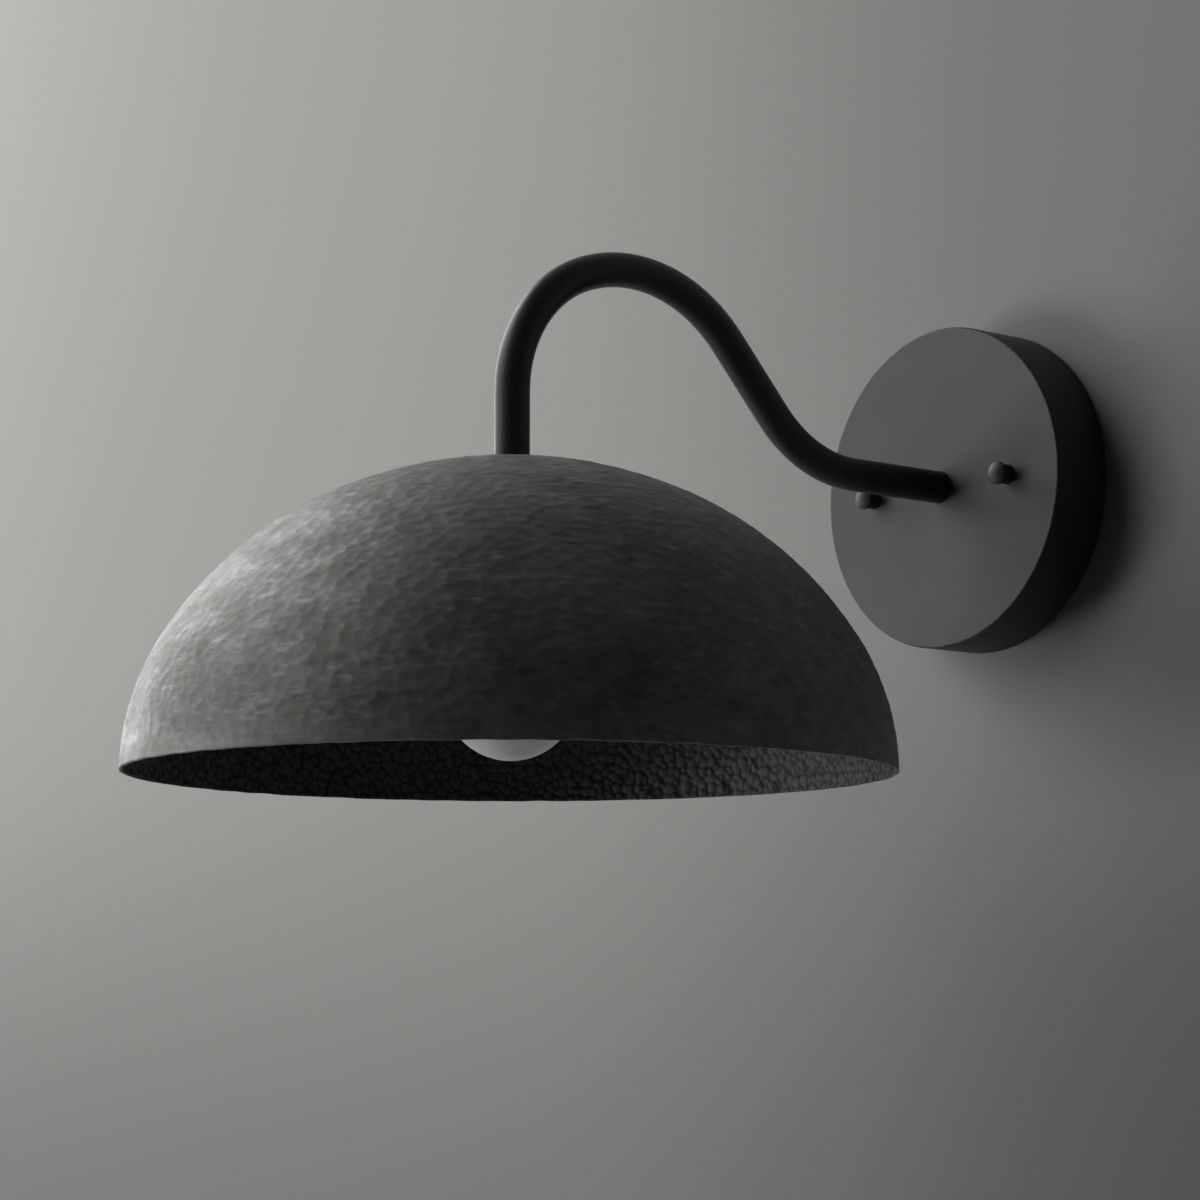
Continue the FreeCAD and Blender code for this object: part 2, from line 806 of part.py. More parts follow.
def lamp_insulator():
    """Black glass cone between the lamp's tip and its screw cap."""
    collar = lamp_cap_radius - lamp_cap_throat
    foot = lamp_insulator_foot - lamp_insulator_collar
    outline = [
        (0, foot),
        (collar, foot),
        (collar, lamp_insulator_foot),
        ((collar + lamp_tip_radius) / 2, lamp_shoulder),
        (0, lamp_shoulder),
    ]
    return turned(outline, shade_axis, Z)


def lamp_cap():
    """Screw cap of the lamp: thin metal, its top drawn in around the insulator."""
    outer = lamp_cap_radius
    inner = outer - lamp_cap_sheet
    throat = outer - lamp_cap_throat
    top = lamp_insulator_foot
    shoulder = top - lamp_cap_shoulder
    outline = [
        (inner, lamp_cap_foot),
        (outer, lamp_cap_foot),
        (outer, shoulder),
        (throat + lamp_cap_sheet, top),
        (throat, top),
        (throat, top - lamp_cap_sheet),
        (inner, shoulder - lamp_cap_sheet),
    ]
    return turned(outline, shade_axis, Z)


def glass_outline(inset):
    """Neck, concave shoulder and globe of the glass, moved in by inset, from the top down."""
    fillet_r = neck_radius + neck_fillet
    fillet_z = globe_z + math.sqrt((globe_radius + neck_fillet) ** 2 - fillet_r**2)
    lean = math.degrees(math.atan2(fillet_r, fillet_z - globe_z))
    neck = neck_radius - inset
    shoulder = arc_entry(fillet_r, fillet_z, neck_fillet + inset, -90, lean - 180)
    globe = arc_entry(0, globe_z, globe_radius - inset, lean, 180)
    return [(neck, glass_top), (neck, fillet_z), shoulder, globe]


def lamp_glass():
    """Hollow frosted glass, closed at the neck's top by the stem's flare."""
    solid = turned(glass_outline(0) + [(0, glass_top)], shade_axis, Z)
    hollow = turned(glass_outline(glass_wall) + [(0, glass_top)], shade_axis, Z)
    return solid.cut(hollow)


def lamp_stem():
    """Glass stem: a flare that seals the neck, and a rod down to the filament's wires."""
    flare = neck_radius - glass_wall
    disc_foot = glass_top - glass_wall
    outline = [
        (0, glass_top),
        (flare, glass_top),
        (flare, disc_foot),
        (stem_radius + stem_flare, disc_foot),
        arc_entry(stem_radius + stem_flare, disc_foot - stem_flare, stem_flare, 0, -90),
        (stem_radius, stem_end),
        (0, stem_end),
    ]
    return turned(outline, shade_axis, Z)


def lamp_filament():
    """Two wires out of the stem and the coil they hold, as one bent bar."""
    profile = [
        (wire_x, stem_end),
        (wire_x, stem_end - wire_straight),
        (filament_half, filament_z),
    ]
    corners = [V(-x, -reach, z) for x, z in profile] + [V(x, -reach, z) for x, z in profile[::-1]]
    return swept_disc(rounded_route(corners, [wire_bend] * 4), wire_radius, V(0, 0, -1))


# --- the leads ----------------------------------------------------------------------------------

def lead(side):
    """Insulated lead from its terminal, up the shade's pipe, through the arm and out of the
    canopy's pipe, then up or down and across into its wire connector."""
    x = side * lead_offset
    end_x = connector_mouth_x + connector_throat
    route = [V(side * (terminal_x - terminal_screw_radius - thread_gap), -reach, lead_level)]
    route.append(V(x, -reach, lead_level))
    route += arm_corners(x)
    route.append(V(x, -lead_depth, 0))
    route.append(V(x, -lead_depth, side * connector_z))
    route.append(V(-side * end_x, -lead_depth, side * connector_z))
    radii = [lead_bend] + bend_radii + [lead_turn_at_wall, lead_bend]
    return swept_disc(rounded_route(route, radii), lead_radius, V(-side, 0, 0))


def wire_connector(side):
    """Twist-on connector over the lead's end: a tapered cap with two wings."""
    base = V(-side * connector_mouth_x, -lead_depth, side * connector_z)
    heading = V(-side, 0, 0)
    nose = connector_tip_radius / 2
    bore = [
        (0, 0),
        (connector_throat_radius, 0),
        (lead_radius, connector_throat),
        (0, connector_throat),
    ]
    outline = [
        (0, 0),
        (connector_mouth_radius, 0),
        (connector_tip_radius, connector_length - nose),
        domed(connector_tip_radius, connector_length - nose, connector_length),
    ]
    length, thickness, spread = connector_wing
    height = 2 * connector_mouth_radius + spread
    wings = Part.makeBox(length, thickness, height)
    wings.translate(base + V(-length / 2, -thickness / 2, -height / 2) + heading * length)
    cap = turned(outline, base, heading).fuse(wings).removeSplitter()
    return cap.cut(turned(bore, base, heading))


def ground_lead():
    """Short bonding lead between the two ring terminals, in a loose bow below the bracket."""
    arm_y = -(lug_face - lug_barrel_radius + lug_crimp)
    bracket_y = -(bracket_front + lug_thickness + lug_barrel_radius - lug_crimp)
    arm_bow, screw_bow = ground_bow
    route = [
        V(0, arm_y, -arm_lug_tongue),
        V(0, arm_y, -arm_bow),
        V(ground_screw_x, bracket_y, -screw_bow),
        V(ground_screw_x, bracket_y, -screw_lug_tongue),
    ]
    return swept_disc(rounded_route(route, [lead_bend, lead_bend]), lead_radius, V(0, 0, -1))


# --- every piece, one file each -------------------------------------------------------------------


def group(shapes):
    """Like pieces that share one node, as separate solids."""
    return Part.makeCompound(list(shapes))


left, right = stud_places

pieces = {
    "mounting_bracket": mounting_bracket(),
    "canopy_studs": group(canopy_stud(x) for x in stud_places),
    "stud_lock_nuts": group(stud_lock_nut(x) for x in stud_places),
    "ground_screw": ground_screw(),
    "ground_lugs": group(ground_lugs()),
    "ground_lead": ground_lead(),
    "canopy": canopy(),
    "cap_washer_left": cap_washer(left),
    "cap_nut_left": cap_nut(left),
    "cap_washer_right": cap_washer(right),
    "cap_nut_right": cap_nut(right),
    "arm_tube": arm_tube(),
    "canopy_pipe": canopy_pipe(),
    "canopy_tooth_washer": canopy_tooth_washer(),
    "canopy_lock_nut": canopy_lock_nut(),
    "shade": shade(),
    "shade_pipe": shade_pipe(),
    "shade_washer": shade_washer(),
    "shade_tooth_washer": shade_tooth_washer(),
    "shade_lock_nut": shade_lock_nut(),
    "holder_cap": holder_cap(),
    "holder_body": holder_body(),
    "contact_block": contact_block(),
    "terminal_plates": group(terminal_plates()),
    "terminal_screws": group(terminal_screws()),
    "contact_rivet": contact_rivet(),
    "centre_tongue": centre_tongue(),
    "screw_shell": screw_shell(),
    "lamp_contact": lamp_contact(),
    "lamp_insulator": lamp_insulator(),
    "lamp_cap": lamp_cap(),
    "lamp_glass": lamp_glass(),
    "lamp_stem": lamp_stem(),
    "lamp_filament": lamp_filament(),
    "line_lead": lead(1),
    "neutral_lead": lead(-1),
    "wire_connectors": group(wire_connector(side) for side in (-1, 1)),
}

os.makedirs("parts", exist_ok=True)
for name, shape in pieces.items():
    box = shape.BoundBox
    print(
        f"{name:22s} solids {len(shape.Solids)} valid {shape.isValid()} volume {shape.Volume:10.1f}"
        f"  x {box.XMin:8.2f} {box.XMax:8.2f}  y {box.YMin:8.2f} {box.YMax:8.2f}"
        f"  z {box.ZMin:8.2f} {box.ZMax:8.2f}"
    )
    shape.exportStep(f"parts/{name}.step")
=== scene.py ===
import math

import bpy
import numpy as np
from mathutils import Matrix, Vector


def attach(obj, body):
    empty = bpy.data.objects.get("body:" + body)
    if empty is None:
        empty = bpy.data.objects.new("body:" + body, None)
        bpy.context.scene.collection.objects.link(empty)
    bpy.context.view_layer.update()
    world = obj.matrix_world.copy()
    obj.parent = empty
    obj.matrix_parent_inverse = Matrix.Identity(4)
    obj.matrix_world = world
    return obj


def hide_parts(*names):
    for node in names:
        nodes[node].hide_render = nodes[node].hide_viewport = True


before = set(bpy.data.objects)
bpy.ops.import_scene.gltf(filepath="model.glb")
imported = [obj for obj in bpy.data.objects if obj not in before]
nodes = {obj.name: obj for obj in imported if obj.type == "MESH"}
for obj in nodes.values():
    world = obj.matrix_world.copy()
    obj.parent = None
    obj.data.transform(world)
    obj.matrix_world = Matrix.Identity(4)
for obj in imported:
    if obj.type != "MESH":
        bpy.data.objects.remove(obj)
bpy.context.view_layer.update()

# --- The wall, the floor and the light ------------------------------------------------------------
# A painted wall stands behind the canopy, with the round opening of an outlet box, and a plain
# pale floor lies far below. A camera behind the wall looks through it, and no other ray does.

rays_that_show = ("Is Camera Ray", "Is Glossy Ray", "Is Transmission Ray")


class Wire:
    """An output of a material's nodes. Python's arithmetic on it adds Math nodes."""

    def __init__(self, finish, socket):
        self.finish = finish
        self.socket = socket

    def maths(self, operation, *values):
        return self.finish.node("ShaderNodeMath", {"operation": operation}, dict(enumerate(values)))

    def __add__(self, other):
        return self.maths("ADD", self, other)

    def __sub__(self, other):
        return self.maths("SUBTRACT", self, other)

    def __rsub__(self, other):
        return self.maths("SUBTRACT", other, self)

    def __mul__(self, other):
        return self.maths("MULTIPLY", self, other)

    __radd__ = __add__
    __rmul__ = __mul__


class Finish:
    """A material and the few ways in which its nodes are added."""

    def __init__(self, name):
        self.material = bpy.data.materials.new(name)
        self.material.use_nodes = True
        self.tree = self.material.node_tree
        self.shader = self.tree.nodes["Principled BSDF"]

    def node(self, kind, settings=None, sockets=None, out=0):
        """One node: its settings first, then what its sockets hold, then the output named."""
        made = self.tree.nodes.new(kind)
        for name, value in (settings or {}).items():
            setattr(made, name, value)
        for name, value in (sockets or {}).items():
            self.feed(made.inputs[name], value)
        return Wire(self, made.outputs[out])

    def feed(self, socket, value):
        if isinstance(value, Wire):
            self.tree.links.new(value.socket, socket)
        else:
            socket.default_value = (*value, 1) if socket.type == "RGBA" else value

    def set(self, **values):
        """What the surface shader's sockets hold, an underscore standing for a space."""
        for name, value in values.items():
            self.feed(self.shader.inputs[name.replace("_", " ").title().replace("Ior", "IOR")], value)
        return self

    def place(self, stretch=(1, 1, 1)):
        """The object's own coordinates in metres, stretched along its axes."""
        where = self.node("ShaderNodeTexCoord", out="Object")
        return self.node("ShaderNodeMapping", {}, {"Vector": where, "Scale": stretch})

    def noise(self, size, detail=3, rough=0.5, stretch=(1, 1, 1), offset=0):
        """Cloudy value from 0 to 1 with clouds of about that size in metres."""
        sockets = {"Vector": self.place(stretch), "W": offset, "Scale": 1 / size}
        sockets |= {"Detail": detail, "Roughness": rough}
        return self.node("ShaderNodeTexNoise", {"noise_dimensions": "4D"}, sockets)

    def steps(self, wire, low, high, to_low=0, to_high=1):
        """The wire's span from low to high, spread over another span and held there."""
        sockets = {0: wire, 1: low, 2: high, 3: to_low, 4: to_high}
        return self.node("ShaderNodeMapRange", {"interpolation_type": "SMOOTHSTEP"}, sockets)

    def blend(self, amount, first, second):
        """The second colour over the first."""
        return self.node(
            "ShaderNodeMix", {"data_type": "RGBA"}, {0: amount, 6: first, 7: second}, out=2
        )

    def bump(self, height, depth):
        """Surface normals of a relief whose height runs from 0 to 1 over that depth in metres."""
        return self.node("ShaderNodeBump", {}, {"Height": height, "Distance": depth})

    def shown(self):
        """1 where an eye, a gloss or a glass shows the surface, 0 for the light it throws back."""
        rays = (self.node("ShaderNodeLightPath", out=kind) for kind in rays_that_show)
        camera, glossy, through = rays
        return self.steps(camera + glossy + through, 0, 1)

    def bands(self, axis, pitch):
        """Even bands across one axis, such as the turns of a thread."""
        settings = {"wave_type": "BANDS", "bands_direction": axis, "wave_profile": "SIN"}
        sockets = {"Vector": self.place(), "Scale": math.pi / 10 / pitch}
        return self.node("ShaderNodeTexWave", settings, sockets, out="Fac")

    def cloudy(self, first, second, size, rough, relief=None, **more):
        """Two tones in clouds of a size, a roughness that wanders between two values, and a fine
        grain, or another relief, for the surface."""
        self.set(
            base_color=self.blend(self.noise(size, detail=4), first, second),
            roughness=self.steps(self.noise(size / 3, detail=3), 0.3, 0.7, *rough),
            normal=relief or self.bump(self.noise(size / 8), 0.00001),
            **more,
        )
        return self


def surface(name, corners, faces, finish):
    """An object made of points in metres and of faces."""
    mesh = bpy.data.meshes.new(name)
    mesh.from_pydata([tuple(c) for c in corners], [], faces)
    mesh.update()
    made = bpy.data.objects.new(name, mesh)
    bpy.context.scene.collection.objects.link(made)
    mesh.materials.append(finish.material)
    return made


stage_reach = 4.0
floor_z = -1.1
wall_gap = 0.0006
outlet_radius = 0.05
wall_paint = (0.460, 0.455, 0.439)
wall_shadow = (0.0, 0.0, 0.0)
wall_bounce = 0.5  # share of its own tone with which the wall lights other things
# The wall's paint darkens towards its left, its right and its foot: a painted falloff of the lamps'
# light, not a change in the paint.
light_falloff_left = (-0.89, -0.06, 0.75, 1.00)  # from x, to x, the paint's tone at either end
light_falloff_right = (-0.29, 0.04, 1.00, 0.74)
light_falloff_low = (-0.33, 0.00, 0.63, 1.00)  # from z, to z, the same
wall_cloud = 0.4
wall_cloud_depth = 0.04
plaster_grain = 0.003
plaster_depth = 0.0001
floor_paint = (0.66, 0.655, 0.64)
floor_bounce = (0.08, 0.08, 0.08)

painted_wall = Finish("painted_wall")
across, upwards = (
    painted_wall.node("ShaderNodeSeparateXYZ", {}, {"Vector": painted_wall.place()}, out=axis)
    for axis in ("X", "Z")
)
# painted falloff of the lamps' light across the wall
painted_falloff_left = painted_wall.steps(across, *light_falloff_left)
painted_falloff_right = painted_wall.steps(across, *light_falloff_right)
painted_falloff_low = painted_wall.steps(upwards, *light_falloff_low)
cloud = painted_wall.noise(wall_cloud, detail=2)
bounce = painted_wall.steps(painted_wall.shown(), 0, 1, wall_bounce, 1)
tone = bounce * painted_falloff_left * painted_falloff_right * painted_falloff_low * (1.0 + wall_cloud_depth * (cloud - 0.5))
painted_wall.set(
    base_color=painted_wall.blend(tone, wall_shadow, wall_paint),
    roughness=0.9,
    specular_ior_level=0.2,
    normal=painted_wall.bump(painted_wall.noise(plaster_grain, detail=4), plaster_depth),
)
to_camera = painted_wall.node("ShaderNodeLightPath", out="Is Camera Ray")
behind = to_camera * painted_wall.node("ShaderNodeNewGeometry", out="Backfacing")
clear = painted_wall.node("ShaderNodeBsdfTransparent")
wall_shader = Wire(painted_wall, painted_wall.shader.outputs[0])
mixed = painted_wall.node("ShaderNodeMixShader", {}, {0: behind, 1: wall_shader, 2: clear})
painted_wall.tree.links.new(
    mixed.socket, painted_wall.tree.nodes["Material Output"].inputs["Surface"]
)
spokes = 96
circle = [
    (math.cos(2 * math.pi * k / spokes), math.sin(2 * math.pi * k / spokes)) for k in range(spokes)
]
wall = surface(
    "wall",
    [(x * r, wall_gap, z * r) for r in (outlet_radius, stage_reach) for x, z in circle],
    [(k, k + spokes, (k + 1) % spokes + spokes, (k + 1) % spokes) for k in range(spokes)],
    painted_wall,
)

painted_floor = Finish("painted_floor")
painted_floor.set(
    base_color=painted_floor.blend(painted_floor.shown(), floor_bounce, floor_paint),
    roughness=0.8,
)
floor = surface(
    "floor",
    [(x * stage_reach, y * stage_reach, floor_z) for x, y in ((-1, -1), (1, -1), (1, 1), (-1, 1))],
    [(0, 1, 2, 3)],
    painted_floor,
)


def lamp(name, place, aim, size, watts):
    """A soft white lamp with a rectangular face, turned towards a point."""
    light = bpy.data.lights.new(name, "AREA")
    light.shape = "RECTANGLE"
    light.size, light.size_y = size
    light.energy = watts
    made = bpy.data.objects.new(name, light)
    made.location = place
    made.rotation_euler = (Vector(aim) - Vector(place)).to_track_quat("-Z", "Y").to_euler()
    bpy.context.scene.collection.objects.link(made)


shade_middle = (0, -0.223, -0.07)
outlet_middle = (0, 0, 0)
room_lamps = {  # place, what it faces, size across and up, watts
    "window": ((-1.135, -1.576, 0.869), shade_middle, (1.4, 1.4), 10.5),
    "high_soft_box": ((-1.165, -0.98, 1.369), shade_middle, (1.6, 1.0), 7),
    "strip_by_the_wall": ((-1.46, -0.299, 0.581), shade_middle, (0.5, 1.4), 14),
    "low_strip": ((-1.319, -1.254, -0.365), shade_middle, (1.0, 0.6), 10.5),
    "front_fill": ((-0.487, -2.04, 0.194), shade_middle, (1.2, 1.0), 0.6),
    "behind_the_outlet": ((0.35, 0.8, 0.3), outlet_middle, (0.4, 0.4), 6),
}
for name, setting in room_lamps.items():
    lamp(name, *setting)

# the sky lights the room hardly at all, and shows as a dark grey
sky_light = 0.004
sky_shown = 0.05
sky = bpy.data.worlds.new("sky")
sky.use_nodes = True
bpy.context.scene.world = sky
sky_tree = sky.node_tree
backdrop = sky_tree.nodes["Background"]
backdrop.inputs["Color"].default_value = (1.0, 1.0, 1.0, 1)
sky_path = sky_tree.nodes.new("ShaderNodeLightPath")
strength = None
for kind in rays_that_show:
    added = sky_tree.nodes.new("ShaderNodeMath")
    added.operation = "MULTIPLY_ADD"
    added.inputs[1].default_value = sky_shown
    added.inputs[2].default_value = sky_light
    sky_tree.links.new(sky_path.outputs[kind], added.inputs[0])
    if strength:
        sky_tree.links.new(strength, added.inputs[2])
    strength = added.outputs[0]
sky_tree.links.new(strength, backdrop.inputs["Strength"])
bpy.context.scene.view_settings.view_transform = "Standard"

# --- The eye --------------------------------------------------------------------------------------
# The camera stands to the right of the arm and a little below the shade, and looks up at it.

eye_place = (0.7992, -0.8177, -0.1949)
eye_turn = 51.665  # degrees from straight at the wall, towards the left
eye_rise = 7.773  # degrees upwards
film_width = 36.0  # millimetres, as the lens
lens_length = 91.586
nearest_seen = 0.05

turn, rise = math.radians(eye_turn), math.radians(eye_rise)
gaze = Vector((-math.sin(turn) * math.cos(rise), math.cos(turn) * math.cos(rise), math.sin(rise)))
eye = bpy.data.objects.new("eye", bpy.data.cameras.new("eye"))
eye.data.sensor_width = film_width
eye.data.lens = lens_length
eye.data.clip_start = nearest_seen
eye.location = eye_place
eye.rotation_euler = gaze.to_track_quat("-Z", "Y").to_euler()
bpy.context.scene.collection.objects.link(eye)
bpy.context.scene.camera = eye

# --- Mounting bracket -----------------------------------------------------------------------------
# A cross of zinc-plated steel over the outlet box, pressed out of sheet, with its middle raised and
# with slots for the box's own screws. Its plating is a dull silver with the clouds of the bath.

zinc_light, zinc_dark = (0.62, 0.63, 0.65), (0.48, 0.48, 0.49)


def dress(names, finish):
    """Gives CAD nodes their finish in place of the materials they came with."""
    for name in names:
        node = nodes[name]
        node.data.materials.clear()
        node.data.materials.append(finish.material)


sheet_zinc = Finish("zinc_plated_sheet")
sheet_zinc.cloudy(zinc_light, zinc_dark, 0.006, (0.30, 0.48), metallic=1.0)
dress(["mounting_bracket"], sheet_zinc)

# --- Ground screw and its lead --------------------------------------------------------------------
# A green hexagonal screw in the bracket holds one lug of the ground lead, whose other lug sits
# under the arm's nut. The lead is copper in green plastic, the lugs are tinned copper.

green = Finish("green_zinc")
green.cloudy((0.05, 0.28, 0.11), (0.03, 0.18, 0.07), 0.003, (0.28, 0.45), metallic=0.6)
dress(["ground_screw"], green)
tinned = Finish("tinned_copper")
tinned.cloudy((0.66, 0.64, 0.60), (0.52, 0.50, 0.46), 0.003, (0.3, 0.5), metallic=1.0)
dress(["ground_lugs"], tinned)
green_lead = Finish("green_lead")
green_lead.cloudy((0.05, 0.33, 0.13), (0.04, 0.27, 0.10), 0.005, (0.38, 0.5))
dress(["ground_lead"], green_lead)

# --- Canopy studs and their lock nuts -------------------------------------------------------------
# Two threaded steel studs with slotted heads go through the bracket from behind, one on either
# side, and a nut locks each one in front. The rolled thread has 32 turns to the inch.

stud_pitch = 0.000794
stud_thread_depth = 0.0002
stud_zinc = Finish("zinc_plated_studs")
turns = stud_zinc.bump(stud_zinc.bands("Y", stud_pitch), stud_thread_depth)
stud_zinc.cloudy(zinc_light, zinc_dark, 0.003, (0.28, 0.42), turns, metallic=1.0)
dress(["canopy_studs"], stud_zinc)
nut_zinc = Finish("zinc_plated_nuts")
nut_zinc.cloudy(zinc_light, zinc_dark, 0.004, (0.28, 0.42), metallic=1.0)
dress(["stud_lock_nuts"], nut_zinc)

# --- Canopy and cap nuts --------------------------------------------------------------------------
# The canopy is a steel cup, spun or pressed in one piece, and the two cap nuts are turned with
# round ends. Both are sprayed with black powder and baked: matte, with a faint orange peel.

powder_black = (0.026, 0.026, 0.027)
powder_dust = (0.040, 0.040, 0.040)
peel_size, pore_size, dust_size = 0.0011, 0.00035, 0.03
peel_depth = 0.00004


def powder_coat(name, rough):
    """Baked black powder: a low orange peel, fine pores and a breath of dust."""
    coat = Finish(name)
    peel = coat.noise(peel_size, detail=2, rough=0.4)
    pores = coat.noise(pore_size, detail=1)
    dust = coat.noise(dust_size, detail=4)
    coat.set(
        base_color=coat.blend(coat.steps(dust, 0.35, 0.75), powder_black, powder_dust),
        roughness=coat.steps(dust + 0.3 * pores, 0.3, 0.9, *rough),
        normal=coat.bump(peel + 0.3 * pores, peel_depth),
    )
    return coat


dress(
    ["canopy", "cap_nut_left", "cap_nut_right"],
    powder_coat("powder_coat", (0.48, 0.62)),
)

# --- Washers under the cap nuts -------------------------------------------------------------------
# A thin disc of pressed black fibre under each cap nut keeps the nut from marking the coat. It
# slides along the stud with the nut and doesn't turn.

fibre = Finish("black_fibre")
fibre.cloudy((0.03, 0.03, 0.03), (0.05, 0.045, 0.04), 0.001, (0.7, 0.85))
dress(["cap_washer_left", "cap_washer_right"], fibre)

# --- Arm ------------------------------------------------------------------------------------------
# One steel tube of 12 mm, bent three times on a mandrel and powder coated after bending. The coat
# lies thinner and a little smoother on the tube than on the flat canopy.

dress(["arm_tube"], powder_coat("arm_powder_coat", (0.34, 0.46)))

# --- Threaded pipes, washers and lock nuts --------------------------------------------------------
# A hollow threaded pipe sits in each end of the arm. One clamps the canopy between tube and nut,
# the other hangs the shade. The toothed washers against turning are of blackened spring steel, the
# rest is zinc-plated.

pipe_pitch = 0.001
pipe_thread_depth = 0.00025
for name, axis in (("canopy_pipe", "Y"), ("shade_pipe", "Z")):
    pipe_zinc = Finish("zinc_plated_" + name)
    turns = pipe_zinc.bump(pipe_zinc.bands(axis, pipe_pitch), pipe_thread_depth)
    pipe_zinc.cloudy(zinc_light, zinc_dark, 0.004, (0.28, 0.42), turns, metallic=1.0)
    dress([name], pipe_zinc)
dress(["canopy_lock_nut", "shade_lock_nut"], nut_zinc)
toothed = Finish("blackened_spring_steel")
toothed.cloudy((0.20, 0.20, 0.21), (0.12, 0.12, 0.13), 0.002, (0.32, 0.48), metallic=1.0)
dress(["canopy_tooth_washer", "shade_tooth_washer"], toothed)
dress(["shade_washer"], sheet_zinc)

# --- The shade ------------------------------------------------------------------------------------
# A dome of sheet metal raised by hammer: rings of overlapping strikes outside, the pattern of the
# pebbled stake inside, a filed rim, and a charcoal patina. It hangs under the arm on its pipe.

shade_axis_y = -0.223
crown_radius, crown_turn = 0.146, 24.0
shoulder_radius, shoulder_turn = 0.123, 35.0
shade_radius = 0.1265
shade_wall = 0.002
rim_z = -0.1165
seat_radius, inner_seat_radius, bolt_hole = 0.008, 0.013, 0.0052


def sin(degrees):
    return math.sin(math.radians(degrees))


def cos(degrees):
    return math.cos(math.radians(degrees))


shoulder_end = crown_turn + shoulder_turn
side_radius = (
    shade_radius
    - crown_radius * sin(crown_turn)
    - shoulder_radius * (sin(shoulder_end) - sin(crown_turn))
) / (1 - sin(shoulder_end))
dome_height = (
    crown_radius * (1 - cos(crown_turn))
    + shoulder_radius * (cos(crown_turn) - cos(shoulder_end))
    + side_radius * cos(shoulder_end)
)
apex_z = rim_z + dome_height
dome_arcs = (
    (0.0, apex_z - crown_radius, crown_radius, 0.0, crown_turn),
    (
        (crown_radius - shoulder_radius) * sin(crown_turn),
        apex_z - crown_radius + (crown_radius - shoulder_radius) * cos(crown_turn),
        shoulder_radius,
        crown_turn,
        shoulder_end,
    ),
    (shade_radius - side_radius, rim_z, side_radius, shoulder_end, 90.0),
)


def dome_line(inset, first_radius, step):
    """Points down the dome's outline, evenly spaced, from a radius to the rim: rows of radius,
    height, the lean of the outward normal in radians, and the way along the line."""
    rows = []
    for centre_r, centre_z, radius, start, end in dome_arcs:
        arc = radius - inset
        for lean in np.arange(start, end, math.degrees(step / arc) / 8):
            rows.append((centre_r + arc * sin(lean), centre_z + arc * cos(lean), math.radians(lean)))
    rows.append((shade_radius - inset, rim_z, math.pi / 2))
    rows = np.array([r for r in rows if r[0] >= first_radius])
    way = np.r_[0, np.cumsum(np.hypot(*np.diff(rows[:, :2], axis=0).T))]
    even = np.linspace(0, way[-1], round(way[-1] / step) + 1)
    return np.column_stack([np.interp(even, way, rows[:, k]) for k in range(3)] + [even])


ring_share = 0.87  # of the marks' spacing, from one ring to the next


class Marks:
    """Marks set in rings down the dome, each jogged off its place: hammer strikes or pebbles."""

    def __init__(self, seed, line, spacing, jog, spread):
        dice = np.random.default_rng(seed)
        self.ring_step = spacing * ring_share
        self.rings = []
        for k in range(-3, int(line[-1, 3] / self.ring_step) + 4):
            way = k * self.ring_step
            radius = np.interp(way, line[:, 3], line[:, 0])
            count = max(5, round(2 * math.pi * radius / spacing))
            turn = (np.arange(count) + 0.5 * (k % 2) + dice.uniform(-jog, jog, count)) / count
            self.rings.append(
                {
                    "count": count,
                    "turn": turn * 2 * math.pi,
                    "way": way + dice.uniform(-jog, jog, count) * self.ring_step,
                    "size": dice.uniform(-1, 1, count) * spread,
                    "tilt": dice.normal(0, 1, (2, count)),
                }
            )

    def around(self, way, radius, angles):
        """Every mark near each point of one row: its offsets along and around, its own size and
        its tilt, each an array of marks by points."""
        ring = int(round(way / self.ring_step)) + 3
        found = []
        for marks in self.rings[max(0, ring - 2) : ring + 3]:
            here = np.floor(angles / (2 * math.pi) * marks["count"]).astype(int)
            for k in range(-2, 4):
                pick = (here + k) % marks["count"]
                off = (angles - marks["turn"][pick] + math.pi) % (2 * math.pi) - math.pi
                found.append(
                    (
                        way - marks["way"][pick],
                        off * radius,
                        marks["size"][pick],
                        marks["tilt"][0][pick],
                        marks["tilt"][1][pick],
                    )
                )
        return [np.array(column) for column in zip(*found)]


wave_count = 12


def soft_noise(seed, angles, way, size):
    """Smooth wandering value about 0, the same all round, from a few waves of about one size."""
    dice = np.random.default_rng(seed)
    total = np.zeros_like(angles)
    for _ in range(wave_count):
        turns = round(dice.uniform(0.3, 1.0) * 2 * math.pi * shade_radius / size) * dice.choice((-1, 1))
        total += np.sin(turns * angles + dice.uniform(0, 6.3) + dice.uniform(2, 6.3) * way / size)
    return total / wave_count**0.5


strike_spacing = 0.0039
strike_jog = 0.5  # share of the spacing by which a mark may miss its place
strike_narrow, strike_wide = 1.25, 0.85  # down the dome and around it
strike_depth = 0.00008
strike_offset = 0.00002
strike_lean = 0.010
crisp, blunt = 0.0000012, 0.000007  # how far the ridges between strikes are rounded
ridge_patch = 0.02  # size of the patches with crisp or blunt ridges
dent_depth = 0.00006
dent_patch = 0.025
pebble_spacing = 0.0033
pebble_jog = 0.5
pebble_spread = 0.0006
pebble_depth = 0.0006
pebble_round = 0.0008
pebble_corner = 0.00035
pebble_oval = 0.12
pebble_levels = 0.1
plain_rim = 0.014
calm_rim = 0.010
calm_share = 0.3  # of the relief, left at the rim's edge
calm_edge = 0.003
rim_thinning = 0.0008
rim_wave = 0.00015
rim_wave_length = 0.012
mesh_step = 0.0007
around_rim = 1152
fade_in = 0.012
smooth_seat = 0.002
strike_seed, pebble_seed, ridge_seed, dent_seed, rim_seed = 7, 23, 31, 5, 3

outside_line = dome_line(0, seat_radius, mesh_step)
inside_line = dome_line(shade_wall, inner_seat_radius, mesh_step)
strikes = Marks(strike_seed, outside_line, strike_spacing, strike_jog, strike_offset)
pebbles = Marks(pebble_seed, inside_line, pebble_spacing, pebble_jog, pebble_spread)


